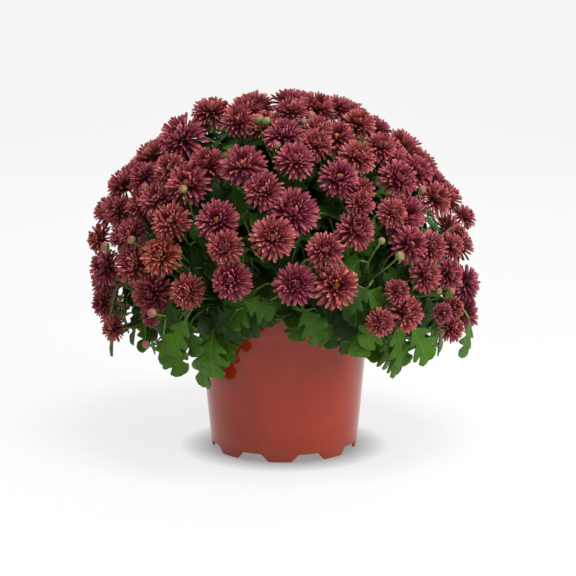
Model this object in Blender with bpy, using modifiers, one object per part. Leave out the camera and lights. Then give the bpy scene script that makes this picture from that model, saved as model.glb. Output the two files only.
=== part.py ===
"""A pot chrysanthemum: a dome of double blooms on leafy stems, rooted in a plastic nursery pot.

Metres, +Z up. The origin is the middle of the circle that the pot's feet stand on.
Each leafy stem is one solid with its branches, leaves and buds. Each spray of blooms that touch is another.
"""

import math
import random

import bmesh
import bpy
import numpy as np
from mathutils import Matrix, Vector, noise
from mathutils.bvhtree import BVHTree

# Driving dimensions of the pot
POT_HEIGHT = 0.148
POT_TOP_RADIUS = 0.0905
POT_BASE_RADIUS = 0.0757
RIM_HEIGHT = 0.017
RIM_STEP = 0.0017
RIM_LEDGE = 0.005
WALL = 0.0018
LIP_ROUND = 0.0008
FOOT_COUNT = 8
FOOT_TURN = math.radians(-3.0)
FOOT_HEIGHT = 0.0075
FOOT_WALL = 0.0035
NOTCH_BELOW, NOTCH_ABOVE = math.radians(27.0), math.radians(16.0)
FLOOR_UNDERSIDE = 0.009
POT_SIDES = 40
DRAIN_RADIUS = 0.005
DRAIN_RING = 0.050
DRAIN_COUNT = 6

# Driving dimensions of the plant
SOIL_LEVEL = 0.127
SOIL_LUMPS = 0.0022
HOLE_DEPTH = 0.030
DOME_CENTRE = Vector((0.0, 0.0, 0.185))
DOME_RADIUS = 0.196
DOME_UP = 0.181
DOME_DOWN = 0.250
GAP = 0.0003
SCRAP_VOLUME = 2e-9
TOUCH = 2e-6
TINY = 1e-6

# Where the plant was looked at from, and the size that a picture unit has on its middle plane
EYE = Vector((0.004, -1.5, 0.41))
UNIT_ACROSS = 0.00104
UNIT_UP = 0.00104

# Blooms that the picture shows: across from the pot's axis, up from its foot, and width, in picture units
SEEN_BLOOMS = (
    (-53, 341, 37), (-78, 331, 37), (-106, 309, 48), (-128, 293, 34), (-41, 282, 44),
    (-85, 279, 40), (-141, 275, 30), (-118, 279, 32), (-108, 268, 42), (-166, 263, 36),
    (-149, 257, 34), (-12, 269, 36), (-126, 249, 36), (-182, 238, 30), (-166, 238, 30),
    (-119, 230, 37), (-76, 228, 41), (-151, 227, 30), (-164, 215, 26), (-188, 210, 28),
    (-10, 244, 48), (-4, 216, 42), (-57, 205, 34), (-126, 197, 38), (-12, 332, 34),
    (11, 334, 32), (32, 335, 36), (7, 312, 36), (58, 319, 38), (72, 325, 32),
    (40, 321, 30), (20, 287, 38), (39, 300, 32), (70, 293, 35), (57, 275, 38),
    (90, 304, 30), (108, 298, 36), (79, 269, 32), (105, 272, 38), (132, 277, 34),
    (149, 255, 34), (126, 238, 46), (102, 246, 28), (79, 235, 37), (42, 199, 36),
    (174, 246, 30), (183, 235, 24), (177, 216, 16), (129, 213, 36), (149, 196, 32),
    (173, 197, 28), (-185, 179, 35), (-152, 182, 40), (-146, 154, 40), (-106, 159, 34),
    (-56, 166, 39), (-190, 140, 28), (-176, 116, 26), (-139, 131, 18), (7, 169, 40),
    (54, 163, 44), (145, 173, 32), (174, 173, 30), (117, 156, 24), (129, 135, 36),
    (105, 122, 28), (177, 140, 22), (165, 131, 20), (174, 112, 28), (-34, 331, 32),
    (82, 253, 26),
)  # fmt: skip

# How the unseen back and sides are filled
BLOOM_COUNT = 131
BACK_RADII = (0.020, 0.0245)
BACK_STARTS_Y = -0.035
LOWEST_BLOOM = 0.118
SPIRAL_POINTS = 420
SPRAY_COUNT = 44
LARGEST_SPRAY = 6
TOUCHING = 0.80
NEAR_ENOUGH = 1.5
SPACING, SPRAY_SPACING = 0.85, 0.86

# One bloom, as shares of its radius
FULLNESS = 1.22
PETALS = 6
SHALLOWEST, DEEPEST = 0.002, 0.015
LEAN_TO_EYE, LEAN_UP, LEAN_SPREAD = 0.45, 0.2, 0.12
INNER_TIP, INNER_VALLEY = (0.74, 0.52), (0.54, 0.45)
OUTER_TIP, OUTER_VALLEY = (0.99, 0.08), (0.78, 0.0)
DISC_HEIGHT = 0.48
CALYX_DEPTH = 0.38
MIDDLE_HEIGHT, UPPER_HALF, LOWER_HALF = 0.08, 0.68, 0.47

# Leafy stems: rings of (count, first turn, elevation, hole radius, heart radius, heart height)
STEM_RINGS = ((4, -70.0, 80.0, 0.018, 0.045, 0.240), (10, -90.0, 34.0, 0.050, 0.118, 0.182))
CELL_APEX = Vector((0.0, 0.0, 0.060))
CELL_MARGIN = 0.0012
STEM_RADIUS = 0.0026
PEDICEL_RADIUS = 0.0010
PEDICEL_TRIES = 80

# The dense heart of each leafy stem, which its leaves and pedicels stand out of
HEART_LEVEL = 0.50
HEART_FLOOR = 0.158
ROOT_SHARE = 0.4

# Leaves: one side of the outline from base to tip, as shares of the length
LEAF_SIDE = ((0.035, 0.0), (0.27, 0.36), (0.15, 0.47), (0.40, 0.66), (0.20, 0.76), (0.18, 0.94))
LEAF_MIDDLE = 0.5
LEAF_HOLLOW = 0.06
LEAF_FOLD = 0.25
LEAF_STALK_RADIUS = 0.0012
LEAF_THICKNESS = 0.0018
CANOPY_LEAVES = {0: 6, 1: 6}
CANOPY_LENGTH = (0.036, 0.054)
LEAF_TRIES = 2400
STEM_TRIES = 6
BLOOM_CLEARANCE = 0.002
STALK_CLEARANCE = 0.0025
LEAF_CLEARANCE = 0.0035
SKIRT_LENGTH = 0.060
SKIRT_TURNS = (-9.0, 9.0)
SKIRT_TRIES = 30
SKIRT_BASE = (0.105, 0.160)
BUD_RADIUS = 0.0042
BUD_TRIES = 300
SEED = 42
STEM_SEED = 600


def new_object(name, mesh, collection):
    made = bpy.data.objects.new(name, mesh)
    collection.objects.link(made)
    return made


def mesh_of(build):
    """The mesh that a function draws in a bmesh."""
    bm = bmesh.new()
    build(bm)
    bmesh.ops.recalc_face_normals(bm, faces=bm.faces)
    mesh = bpy.data.meshes.new("shape")
    bm.to_mesh(mesh)
    bm.free()
    return mesh


def material(name, colour, roughness, coat=0.0):
    made = bpy.data.materials.new(name)
    made.use_nodes = True
    shader = made.node_tree.nodes["Principled BSDF"]
    shader.inputs["Base Color"].default_value = (*colour, 1.0)
    shader.inputs["Roughness"].default_value = roughness
    shader.inputs["Metallic"].default_value = 0.0
    shader.inputs["Coat Weight"].default_value = coat
    made.diffuse_color = (*colour, 1.0)
    return made


def realised(obj):
    """A curve or modified object made a plain mesh under the same name, with a curve's caps welded."""
    name, collection = obj.name, obj.users_collection[0]
    bpy.context.view_layer.update()
    graph = bpy.context.evaluated_depsgraph_get()
    mesh = bpy.data.meshes.new_from_object(obj.evaluated_get(graph))
    mesh.transform(obj.matrix_world)
    if obj.type == "CURVE":
        bm = bmesh.new()
        bm.from_mesh(mesh)
        bmesh.ops.remove_doubles(bm, verts=bm.verts, dist=TINY)
        bm.to_mesh(mesh)
        bm.free()
    bpy.data.objects.remove(obj)
    return new_object(name, mesh, collection)


def turned(name, profile, sides, collection):
    """A solid of revolution from its (radius, height) profile, which starts and ends on the axis."""
    mesh = bpy.data.meshes.new(name)
    edges = [(i, i + 1) for i in range(len(profile) - 1)]
    mesh.from_pydata([(x, 0.0, z) for x, z in profile], edges, [])
    made = new_object(name, mesh, collection)
    screw = made.modifiers.new("turn", "SCREW")
    screw.steps = screw.render_steps = sides
    screw.use_merge_vertices = True
    screw.merge_threshold = 0.00001
    return realised(made)


def fused(name, collection):
    """Every object of a collection joined into one solid, with the collection emptied."""
    members = list(collection.objects)
    target = bpy.context.scene.collection
    first = new_object(name, members[0].data, target)
    bpy.data.objects.remove(members[0])
    if len(members) > 1:
        join = first.modifiers.new("join", "BOOLEAN")
        join.operation = "UNION"
        join.operand_type = "COLLECTION"
        join.collection = collection
        join.solver = "MANIFOLD"
        first = realised(first)
    for member in list(collection.objects):
        bpy.data.objects.remove(member)
    drop_scraps(first.data)
    return first


def islands(bm):
    """The faces of a mesh in lists, one for each surface that hangs together."""
    bm.faces.index_update()
    seen, found = set(), []
    for seed in bm.faces:
        if seed.index in seen:
            continue
        island, queue = [], [seed]
        seen.add(seed.index)
        while queue:
            face = queue.pop()
            island.append(face)
            for neighbour in {near for edge in face.edges for near in edge.link_faces}:
                if neighbour.index not in seen:
                    seen.add(neighbour.index)
                    queue.append(neighbour)
        found.append(island)
    return found


def drop_scraps(mesh):
    """Takes out loose crumbs of a fused mesh and fills the hollows that fusing sealed."""
    bm = bmesh.new()
    bm.from_mesh(mesh)
    bmesh.ops.triangulate(bm, faces=bm.faces)
    scraps = []
    for island in islands(bm):
        corners = [[vert.co for vert in face.verts] for face in island]
        if sum(a.dot(b.cross(c)) for a, b, c in corners) / 6 < SCRAP_VOLUME:
            scraps += island
    bmesh.ops.delete(bm, geom=scraps, context="FACES")
    bm.to_mesh(mesh)
    bm.free()


def is_sound(mesh):
    """Whether a fused mesh is one closed body that nowhere touches itself."""
    bm = bmesh.new()
    bm.from_mesh(mesh)
    bmesh.ops.remove_doubles(bm, verts=bm.verts, dist=TOUCH)
    sound = len(islands(bm)) == 1 and all(len(edge.link_faces) == 2 for edge in bm.edges)
    bm.free()
    return sound


def cut(obj, cutter):
    """Takes the cutter's shape out of an object, and removes the cutter."""
    cutter.hide_render = True
    cutter.display_type = "WIRE"
    modifier = obj.modifiers.new("cut", "BOOLEAN")
    modifier.operation = "DIFFERENCE"
    modifier.object = cutter
    made = realised(obj)
    bpy.data.objects.remove(cutter)
    return made


def pot_radius(height):
    """Outer radius of the tapering body at a height."""
    return POT_BASE_RADIUS + (POT_TOP_RADIUS - RIM_STEP - POT_BASE_RADIUS) * height / POT_HEIGHT


def make_pot(collection):
    """The turned wall with its banded rim, notched into feet below, and drained through the floor."""
    band = POT_HEIGHT - RIM_HEIGHT
    floor_top = FLOOR_UNDERSIDE + WALL
    profile = [
        (0.0, floor_top),
        (pot_radius(floor_top) - WALL, floor_top),
        (pot_radius(POT_HEIGHT) - WALL + RIM_STEP, POT_HEIGHT - LIP_ROUND),
        (pot_radius(POT_HEIGHT) - WALL + RIM_STEP + LIP_ROUND, POT_HEIGHT),
        (POT_TOP_RADIUS - LIP_ROUND, POT_HEIGHT),
        (POT_TOP_RADIUS, POT_HEIGHT - LIP_ROUND),
        (pot_radius(band) + RIM_STEP, band),
        (pot_radius(band), band - RIM_LEDGE),
        (pot_radius(FLOOR_UNDERSIDE), FLOOR_UNDERSIDE),
        (pot_radius(0.0) - 0.001, 0.0),
        (pot_radius(0.0) - FOOT_WALL, 0.0),
        (pot_radius(FLOOR_UNDERSIDE) - FOOT_WALL, FLOOR_UNDERSIDE),
        (0.0, FLOOR_UNDERSIDE),
    ]
    pot = turned("pot", profile, POT_SIDES, collection)
    pot = cut(pot, foot_notches(collection))
    return cut(pot, drain_holes(collection))


def foot_notches(collection):
    """Eight blocks, wider below than above, that leave eight feet with sloping sides."""

    def draw(bm):
        for k in range(FOOT_COUNT):
            made = bmesh.ops.create_cube(bm, size=1.0)["verts"]
            for vert in made:
                low = vert.co.z < 0
                vert.co.x = POT_BASE_RADIUS + vert.co.x * 8 * FOOT_WALL
                vert.co.y *= POT_BASE_RADIUS * (NOTCH_BELOW if low else NOTCH_ABOVE)
                vert.co.z = -4 * GAP if low else FOOT_HEIGHT
            turn = FOOT_TURN - math.pi / 2 + math.tau * (k + 0.5) / FOOT_COUNT
            bmesh.ops.transform(bm, matrix=Matrix.Rotation(turn, 4, "Z"), verts=made)

    return new_object("notches", mesh_of(draw), collection)


def drain_holes(collection):
    def draw(bm):
        for k in range(DRAIN_COUNT):
            turn = math.tau * k / DRAIN_COUNT
            place = Matrix.Translation(
                (DRAIN_RING * math.cos(turn), DRAIN_RING * math.sin(turn), FLOOR_UNDERSIDE)
            )
            bmesh.ops.create_cone(
                bm, segments=10, radius1=DRAIN_RADIUS, radius2=DRAIN_RADIUS,
                depth=4 * WALL, cap_ends=True, matrix=place,
            )  # fmt: skip

    return new_object("drains", mesh_of(draw), collection)


def make_soil(stems, collection):
    """Peat that fills the pot, crumbly on top, with a plain hole for each leafy stem."""
    bottom = FLOOR_UNDERSIDE + WALL + GAP
    top_radius = pot_radius(SOIL_LEVEL) - WALL - 2 * GAP
    profile = [(0.0, SOIL_LEVEL)]
    profile += [(top_radius * share, SOIL_LEVEL) for share in (0.4, 0.75, 1.0)]
    profile += [(pot_radius(bottom) - WALL - 2 * GAP, bottom), (0.0, bottom)]
    soil = turned("soil", profile, 24, collection)
    for vert in soil.data.vertices:
        inside = math.hypot(vert.co.x, vert.co.y) < 0.9 * top_radius
        if vert.co.z > SOIL_LEVEL - GAP and inside:
            vert.co.z += SOIL_LUMPS * noise.noise(vert.co * 60.0)

    def draw(bm):
        for stem in stems:
            place = Matrix.Translation((*stem.hole, SOIL_LEVEL))
            bmesh.ops.create_cone(
                bm, segments=5, radius1=1.5 * STEM_RADIUS, radius2=1.5 * STEM_RADIUS,
                depth=2 * HOLE_DEPTH, cap_ends=True, matrix=place,
            )  # fmt: skip

    return cut(soil, new_object("holes", mesh_of(draw), collection))


def dome_level(point):
    """1 on the canopy's dome, and less inside it."""
    height = point.z - DOME_CENTRE.z
    reach = DOME_UP if height > 0 else DOME_DOWN
    return (point.x**2 + point.y**2) / DOME_RADIUS**2 + (height / reach) ** 2


def onto_dome(point):
    return DOME_CENTRE + (point - DOME_CENTRE) / math.sqrt(dome_level(point))


def dome_normal(point):
    height = point.z - DOME_CENTRE.z
    reach = DOME_UP if height > 0 else DOME_DOWN
    flat = DOME_RADIUS**2
    return Vector((point.x / flat, point.y / flat, height / reach**2)).normalized()


def sighted(across, up):
    """Where the sight line through a point of the middle plane meets the dome, and how far along that is."""
    target = Vector((across * UNIT_ACROSS, 0.0, up * UNIT_UP))
    steps = [0.80 + 0.002 * k for k in range(150)]
    levels = [dome_level(EYE.lerp(target, t)) for t in steps]
    inside = [k for k, level in enumerate(levels) if level <= 1.0]
    nearest = inside[0] if inside else levels.index(min(levels))
    return EYE.lerp(target, steps[nearest]), steps[nearest]


class Bloom:
    """One flower head: its middle, its radius and the way it faces."""

    def __init__(self, place, radius, lean, draw):
        self.swell = math.sqrt(dome_level(place))
        self.radius = radius
        self.centre = place - dome_normal(place) * (0.4 * radius + draw.uniform(0.0, 0.005))
        self.lean = lean + Vector([draw.gauss(0.0, LEAN_SPREAD) for _ in range(3)])
        self.turn = draw.uniform(0.0, math.tau)
        self.petal_reach = [draw.uniform(0.93, 1.0) for _ in range(2 * PETALS)]

    @property
    def facing(self):
        return (dome_normal(self.centre) + Vector((0, 0, LEAN_UP)) + self.lean).normalized()

    def move(self, step):
        """Shifts the bloom, and keeps it in the canopy's outer layer."""
        moved = self.centre + step
        moved.z = max(moved.z, LOWEST_BLOOM)
        outer = DOME_CENTRE + (moved - DOME_CENTRE) * (self.swell / math.sqrt(dome_level(moved)))
        normal = dome_normal(outer)
        depth = (outer - moved).dot(normal)
        kept = min(max(depth, 0.2 * self.radius + SHALLOWEST), 0.2 * self.radius + DEEPEST)
        self.centre = moved + normal * (depth - kept)


def scatter_blooms(draw):
    """The blooms that the picture shows, then the back and sides filled along a spiral."""
    blooms = []
    for across, up, width in SEEN_BLOOMS:
        place, share = sighted(across, up)
        radius = 0.5 * FULLNESS * width * UNIT_ACROSS * share
        blooms.append(Bloom(place, radius, LEAN_TO_EYE * (EYE - place).normalized(), draw))
    golden = math.pi * (3 - math.sqrt(5))
    order = list(range(SPIRAL_POINTS))
    draw.shuffle(order)
    for k in order:
        if len(blooms) == BLOOM_COUNT:
            break
        height = 1.0 - 1.45 * (k + 0.5) / SPIRAL_POINTS
        ring = math.sqrt(1.0 - height * height)
        heading = Vector((ring * math.cos(k * golden), ring * math.sin(k * golden), height))
        place = onto_dome(DOME_CENTRE + 0.1 * heading)
        radius = draw.uniform(*BACK_RADII)
        free = all((place - b.centre).length > SPACING * (radius + b.radius) for b in blooms)
        if place.y > BACK_STARTS_Y and place.z > LOWEST_BLOOM and free:
            blooms.append(Bloom(place, radius, Vector(), draw))
    return blooms


def group_sprays(blooms):
    """Gathers near neighbours into sprays. Returns each bloom's spray and the pairs that touch."""
    count = len(blooms)
    spray = list(range(count))
    links = []
    pairs = []
    for i in range(count):
        for j in range(i + 1, count):
            a, b = blooms[i], blooms[j]
            pairs.append(((a.centre - b.centre).length / (a.radius + b.radius), i, j))
    for nearness, i, j in sorted(pairs):
        if len(set(spray)) <= SPRAY_COUNT or nearness > NEAR_ENOUGH:
            break
        size = spray.count(spray[i]) + spray.count(spray[j])
        if spray[i] != spray[j] and size <= LARGEST_SPRAY:
            old, new = spray[j], spray[i]
            spray = [new if s == old else s for s in spray]
            links.append((i, j))
    return spray, links


def relax(blooms, spray, closeness, rounds):
    """Nudges blooms along the canopy until linked ones are close and other sprays are clear."""
    count = len(blooms)
    radius = np.array([b.radius for b in blooms])
    reach = radius[:, None] + radius[None, :]
    same = np.array(spray)[:, None] == np.array(spray)[None, :]
    least = np.where(same, SPRAY_SPACING * reach, reach + 4 * GAP)
    wanted = np.full((count, count), np.nan)
    for (i, j), share in closeness.items():
        wanted[i, j] = wanted[j, i] = share
    homes = [b.centre.copy() for b in blooms]
    for _ in range(rounds):
        centre = np.array([b.centre for b in blooms])
        apart = centre[:, None, :] - centre[None, :, :]
        distance = np.linalg.norm(apart, axis=2) + np.eye(count)
        push = np.clip(least - distance, 0.0, None)
        push = np.where(np.isnan(wanted), push, wanted * reach - distance)
        np.fill_diagonal(push, 0.0)
        move = (apart / distance[:, :, None] * push[:, :, None]).sum(axis=1) * 0.25
        for bloom, home, step in zip(blooms, homes, move):
            bloom.move(Vector(step) + 0.02 * (home - bloom.centre))


def settle(blooms, spray, links):
    """Spaces the blooms: sprays stay clear of each other, and the linked blooms of one spray meet."""
    closeness = {link: TOUCHING for link in links}
    relax(blooms, spray, closeness, 250)
    for attempt in range(10):
        for i in range(len(blooms)):
            for j in range(i + 1, len(blooms)):
                a, b = blooms[i], blooms[j]
                over = a.radius + b.radius + 2 * GAP - (a.centre - b.centre).length
                if spray[i] != spray[j] and over > 0:
                    a.radius -= 0.5 * over
                    b.radius -= 0.5 * over
        shells = [bloom_shell(bloom) for bloom in blooms]
        apart = [(i, j) for i, j in links if len(shells[i].overlap(shells[j])) < 4]
        if not apart:
            break
        for link in apart:
            closeness[link] -= 0.04
        relax(blooms, spray, closeness, 40)


def bloom_shell(bloom):
    bm = bmesh.new()
    draw_bloom(bm, bloom)
    shell = BVHTree.FromBMesh(bm)
    bm.free()
    return shell


def draw_bloom(bm, bloom):
    """Two tiers of pointed petals round a sunken disc, over a shallow calyx."""
    corners = 2 * PETALS

    def shape(vert):
        if abs(vert.co.z) > 0.9:
            return Vector((0, 0, DISC_HEIGHT if vert.co.z > 0 else -CALYX_DEPTH))
        turn = math.atan2(vert.co.y, vert.co.x)
        index = round(turn / math.tau * corners) % corners
        upper = vert.co.z > 0
        tip = (index % 2 == 0) == upper
        if upper:
            out, height = INNER_TIP if tip else INNER_VALLEY
        else:
            out, height = OUTER_TIP if tip else OUTER_VALLEY
        out *= bloom.petal_reach[index]
        return Vector((out * math.cos(turn), out * math.sin(turn), height))

    bmesh.ops.create_uvsphere(bm, u_segments=corners, v_segments=3, radius=1.0)
    for vert in bm.verts:
        vert.co = shape(vert)
    bmesh.ops.triangulate(bm, faces=bm.faces)
    side = Vector((math.cos(bloom.turn), math.sin(bloom.turn), 0.3))
    place = frame_of(bloom.centre, bloom.facing, side, bloom.radius)
    bmesh.ops.transform(bm, matrix=place, verts=bm.verts)


def frame_of(origin, along_z, along_y, scale=1.0):
    """The matrix that takes a piece drawn at the origin to its place."""
    z = along_z.normalized()
    x = along_y.cross(z).normalized()
    y = z.cross(x)
    turn = Matrix((x, y, z)).transposed().to_4x4()
    return Matrix.Translation(origin) @ turn @ Matrix.Scale(scale, 4)


class Stem:
    """One leafy stem: its cell of the canopy, its hole in the soil and the dense heart of its foliage."""

    def __init__(self, ring, turn, elevation, hole_radius, heart_radius, heart_height):
        self.ring = ring
        self.turn = turn
        level = math.radians(elevation)
        flat = Vector((math.cos(turn), math.sin(turn), 0.0))
        self.axis = flat * math.cos(level) + Vector((0, 0, math.sin(level)))
        self.hole = (flat * hole_radius).to_2d()
        self.heart = flat * heart_radius + Vector((0, 0, heart_height))
        self.stalk_points = []

    def margin(self, point, stems):
        """How far inside this stem's cell a point is."""
        offset = point - CELL_APEX
        others = [other for other in stems if other is not self]
        return min(offset.dot((self.axis - other.axis).normalized()) for other in others)

    def inside(self, point, stems):
        return self.margin(point, stems) > CELL_MARGIN

    def in_heart(self, point, stems):
        """Whether a point belongs to the dense middle of the foliage."""
        deep = dome_level(point) < HEART_LEVEL and point.z > HEART_FLOOR
        return deep and self.inside(point, stems)

    def heart_reach(self, heading, stems):
        """How far the heart goes from its middle in one direction."""
        near, far = 0.0, 0.2
        for _ in range(14):
            middle = 0.5 * (near + far)
            if self.in_heart(self.heart + heading * middle, stems):
                near = middle
            else:
                far = middle
        return near

    def root(self, point, stems):
        """A point well inside the heart, on the way from its middle to the point given."""
        heading = (point - self.heart).normalized()
        return self.heart + heading * (ROOT_SHARE * self.heart_reach(heading, stems))


def plan_stems():
    stems = []
    for ring, (count, first, elevation, hole, out, up) in enumerate(STEM_RINGS):
        for k in range(count):
            turn = math.radians(first) + math.tau * k / count
            stems.append(Stem(ring, turn, elevation, hole, out, up))
    return stems


def tube(points, first, last, collection):
    """A tapering round stalk along points."""
    curve = bpy.data.curves.new("stalk", "CURVE")
    curve.dimensions = "3D"
    curve.bevel_depth = 1.0
    curve.bevel_resolution = 0
    curve.use_fill_caps = True
    spline = curve.splines.new("POLY")
    spline.points.add(len(points) - 1)
    for k, point in enumerate(points):
        spline.points[k].co = (*point, 1.0)
        spline.points[k].radius = first + (last - first) * k / (len(points) - 1)
    return realised(new_object("stalk", curve, collection))


def stalk(start, end, first, last, collection):
    """A straight, tapering, three-sided stalk."""
    line = end - start

    def draw(bm):
        made = bmesh.ops.create_cone(
            bm, segments=3, radius1=first, radius2=last, depth=line.length, cap_ends=True
        )["verts"]
        place = frame_of(start.lerp(end, 0.5), line, Vector((line.z, line.x, line.y)))
        bmesh.ops.transform(bm, matrix=place, verts=made)
        bmesh.ops.remove_doubles(bm, verts=bm.verts, dist=TINY)

    new_object("stalk", mesh_of(draw), collection)


def grow_stem(stem, stems, blooms, collection, draw):
    """The stalk from its hole up into the heart, and from there a pedicel to each bloom of the cell."""
    foot = Vector((*stem.hole, SOIL_LEVEL - HOLE_DEPTH + GAP))
    neck = Vector((*stem.hole, SOIL_LEVEL + 0.010))
    tube([foot, neck, stem.heart], STEM_RADIUS, STEM_RADIUS * 0.8, collection)

    def build(bm):
        made = bmesh.ops.create_icosphere(bm, subdivisions=2, radius=1.0)["verts"]
        for vert in made:
            heading = vert.co.normalized()
            vert.co = stem.heart + heading * stem.heart_reach(heading, stems)

    new_object("heart", mesh_of(build), collection)
    for bloom in blooms:
        seat = bloom.centre - bloom.facing * (CALYX_DEPTH * bloom.radius + 1.6 * GAP)
        if max(stems, key=lambda other: other.margin(seat, stems)) is stem:
            others = [other for other in blooms if other is not bloom]
            tracks = []
            for attempt in range(PEDICEL_TRIES):
                aside = Vector([draw.gauss(0.0, 0.001 * (attempt + 1)) for _ in range(3)])
                root = stem.root(seat + aside, stems)
                track = [root.lerp(seat, k / 24) for k in range(25)]
                tracks.append((bloom_clearance(track, others, 1.6 * PEDICEL_RADIUS), -attempt, track))
                if tracks[-1][0] > 1.0:
                    break
            track = max(tracks, key=lambda found: found[:2])[2]
            stalk(track[0], track[-1], PEDICEL_RADIUS * 1.4, PEDICEL_RADIUS, collection)
            stem.stalk_points += track


class Leaf:
    """One blade: where its base is, the way its midrib runs, the way its face looks, and its length."""

    def __init__(self, base, along, face, length, droop, root):
        self.base = base
        self.along = along.normalized()
        self.face = face
        self.length = length
        self.droop = droop
        self.root = root
        self.stalk_end = self.frame.inverted() @ root

    def bent(self, x, y):
        """A point of the blade's middle surface, x across and y along, as shares of the length."""
        sag = self.droop * y * abs(y)
        return Vector((x, y * (1 - 0.3 * self.droop * abs(y)), -sag + LEAF_FOLD * abs(x)))

    @property
    def frame(self):
        return frame_of(self.base, self.face, self.along, self.length)

    def outline(self):
        right = [self.bent(x, y) for x, y in LEAF_SIDE]
        left = [self.bent(-x, y) for x, y in reversed(LEAF_SIDE)]
        return [*right, self.bent(0, 1), *left]

    def middle(self):
        """The middle of the blade, which lies lower than its edge all round."""
        return self.bent(0, LEAF_MIDDLE) - Vector((0, 0, LEAF_HOLLOW))

    def seat(self):
        """Where the leaf's stalk ends, inside the blade and in place."""
        base = LEAF_SIDE[0][0]
        return self.frame @ self.middle().lerp(Vector((0, 0, LEAF_FOLD * base)), 0.4)

    def samples(self):
        """Points spread over the blade, in place."""
        frame = self.frame
        middle = self.bent(0, LEAF_MIDDLE)
        spots = [middle]
        for corner in self.outline():
            spots += [middle.lerp(corner, share) for share in (0.4, 0.7, 1.02)]
        return [frame @ spot for spot in spots]


def leaf_mesh(leaf):
    """A lobed blade, thickest at its middle and thin at its edge."""
    outline = leaf.outline()
    corners = len(outline)
    frame = leaf.frame
    half = 0.5 * LEAF_THICKNESS / leaf.length

    def build(bm):
        made = bmesh.ops.create_cone(
            bm, segments=corners, radius1=1.0, radius2=0.0, depth=1.0, cap_ends=True, cap_tris=True
        )["verts"]
        middle = leaf.middle()
        for vert in made:
            if math.hypot(vert.co.x, vert.co.y) > 0.5:
                turn = math.atan2(vert.co.x, vert.co.y)
                vert.co = outline[round(turn / math.tau * corners) % corners]
            else:
                side = half if vert.co.z > 0 else -half
                vert.co = middle + Vector((0, 0, side))
        bmesh.ops.transform(bm, matrix=frame, verts=bm.verts)

    return mesh_of(build)


def bloom_clearance(points, blooms, margin):
    """1 or more where every point is outside the flattened ball that each bloom fills."""
    spots = np.array(points)
    least = 9.0
    for bloom in blooms:
        offset = spots - np.array(bloom.centre)
        square = (offset**2).sum(axis=1)
        if square.min() > (bloom.radius + 2 * margin) ** 2:
            continue
        height = offset @ np.array(bloom.facing)
        flat = np.sqrt(np.clip(square - height**2, 0.0, None))
        rise = height - MIDDLE_HEIGHT * bloom.radius
        half = np.where(rise > 0, UPPER_HALF, LOWER_HALF) * bloom.radius
        level = (flat / (bloom.radius + margin)) ** 2 + (rise / (half + margin)) ** 2
        least = min(least, level.min())
    return least


def clear_of_pot(points):
    return all(
        math.hypot(p.x, p.y) > POT_TOP_RADIUS + 0.005 or p.z > POT_HEIGHT + 0.004
        for p in points
    )


def nearest_gap(points, others):
    """The least distance between two lists of points."""
    if not points or not others:
        return 1.0
    apart = np.array(points)[:, None, :] - np.array(others)[None, :, :]
    return np.sqrt((apart**2).sum(axis=2).min())


def may_grow(leaf, stem, stems, blooms, placed):
    """Whether a leaf clears the pot, the blooms, the canopy's outside, other cells and its neighbours."""
    if abs(leaf.stalk_end.x) > -leaf.stalk_end.y or leaf.stalk_end.y > -0.1:
        return False
    points = leaf.samples()
    if any(dome_level(point) > 1.03 and point.z > 0.15 for point in points):
        return False
    if any(stem.in_heart(point, stems) for point in points):
        return False
    if not clear_of_pot(points) or not all(stem.inside(point, stems) for point in points):
        return False
    if bloom_clearance(points, blooms, BLOOM_CLEARANCE) < 1.0:
        return False
    if nearest_gap(points, stem.stalk_points) < STALK_CLEARANCE:
        return False
    return all(nearest_gap(points, other.samples()) > LEAF_CLEARANCE for other in placed)


def skirt_leaves(stem, stems, blooms, draw):
    """The large lower leaves that reach out over the pot's rim and hang."""
    placed = []
    for turn in SKIRT_TURNS:
        for attempt in range(SKIRT_TRIES):
            heading = stem.turn + math.radians(turn + draw.uniform(-4, 4))
            flat = Vector((math.cos(heading), math.sin(heading), 0.0))
            reach, height = SKIRT_BASE
            base = flat * (reach + draw.uniform(0, 0.02))
            base.z = height - draw.uniform(0, 0.006)
            fall = math.radians(draw.uniform(10, 55))
            along = flat * math.cos(fall) - Vector((0, 0, math.sin(fall)))
            face = flat * math.sin(fall) + Vector((0, 0, math.cos(fall)))
            length = SKIRT_LENGTH * draw.uniform(0.82, 1.0)
            leaf = Leaf(base, along, face, length, draw.uniform(0.15, 0.4), stem.root(base, stems))
            if may_grow(leaf, stem, stems, blooms, placed):
                placed.append(leaf)
                break
    return placed


def canopy_leaves(stem, stems, blooms, placed, draw):
    """Leaves among and just under the blooms, drawn until enough of them fit."""
    wanted = len(placed) + CANOPY_LEAVES[stem.ring]
    for attempt in range(LEAF_TRIES):
        if len(placed) >= wanted:
            break
        lean = Vector([draw.uniform(-0.6, 0.6) for _ in range(3)])
        spot = onto_dome(CELL_APEX + 0.15 * (stem.axis + lean).normalized())
        if spot.z < 0.125 or not stem.inside(spot, stems):
            continue
        normal = dome_normal(spot)
        middle = spot - normal * (0.008 + 0.034 * attempt / LEAF_TRIES)
        outward = (middle - stem.heart).normalized()
        spread = Vector([draw.gauss(0, 1) for _ in range(3)])
        down = Vector((0, 0, -0.5 if stem.ring else 0.0))
        along = (outward * 0.6 + spread * 0.6 + down).normalized()
        face = (normal + Vector((0, 0, 0.4)) + spread.cross(normal) * 0.1).normalized()
        length = draw.uniform(*CANOPY_LENGTH)
        base = middle - along * (LEAF_MIDDLE * length)
        leaf = Leaf(base, along, face, length, draw.uniform(0.05, 0.35), stem.root(base, stems))
        if may_grow(leaf, stem, stems, blooms, placed):
            placed.append(leaf)
    return placed


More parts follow.
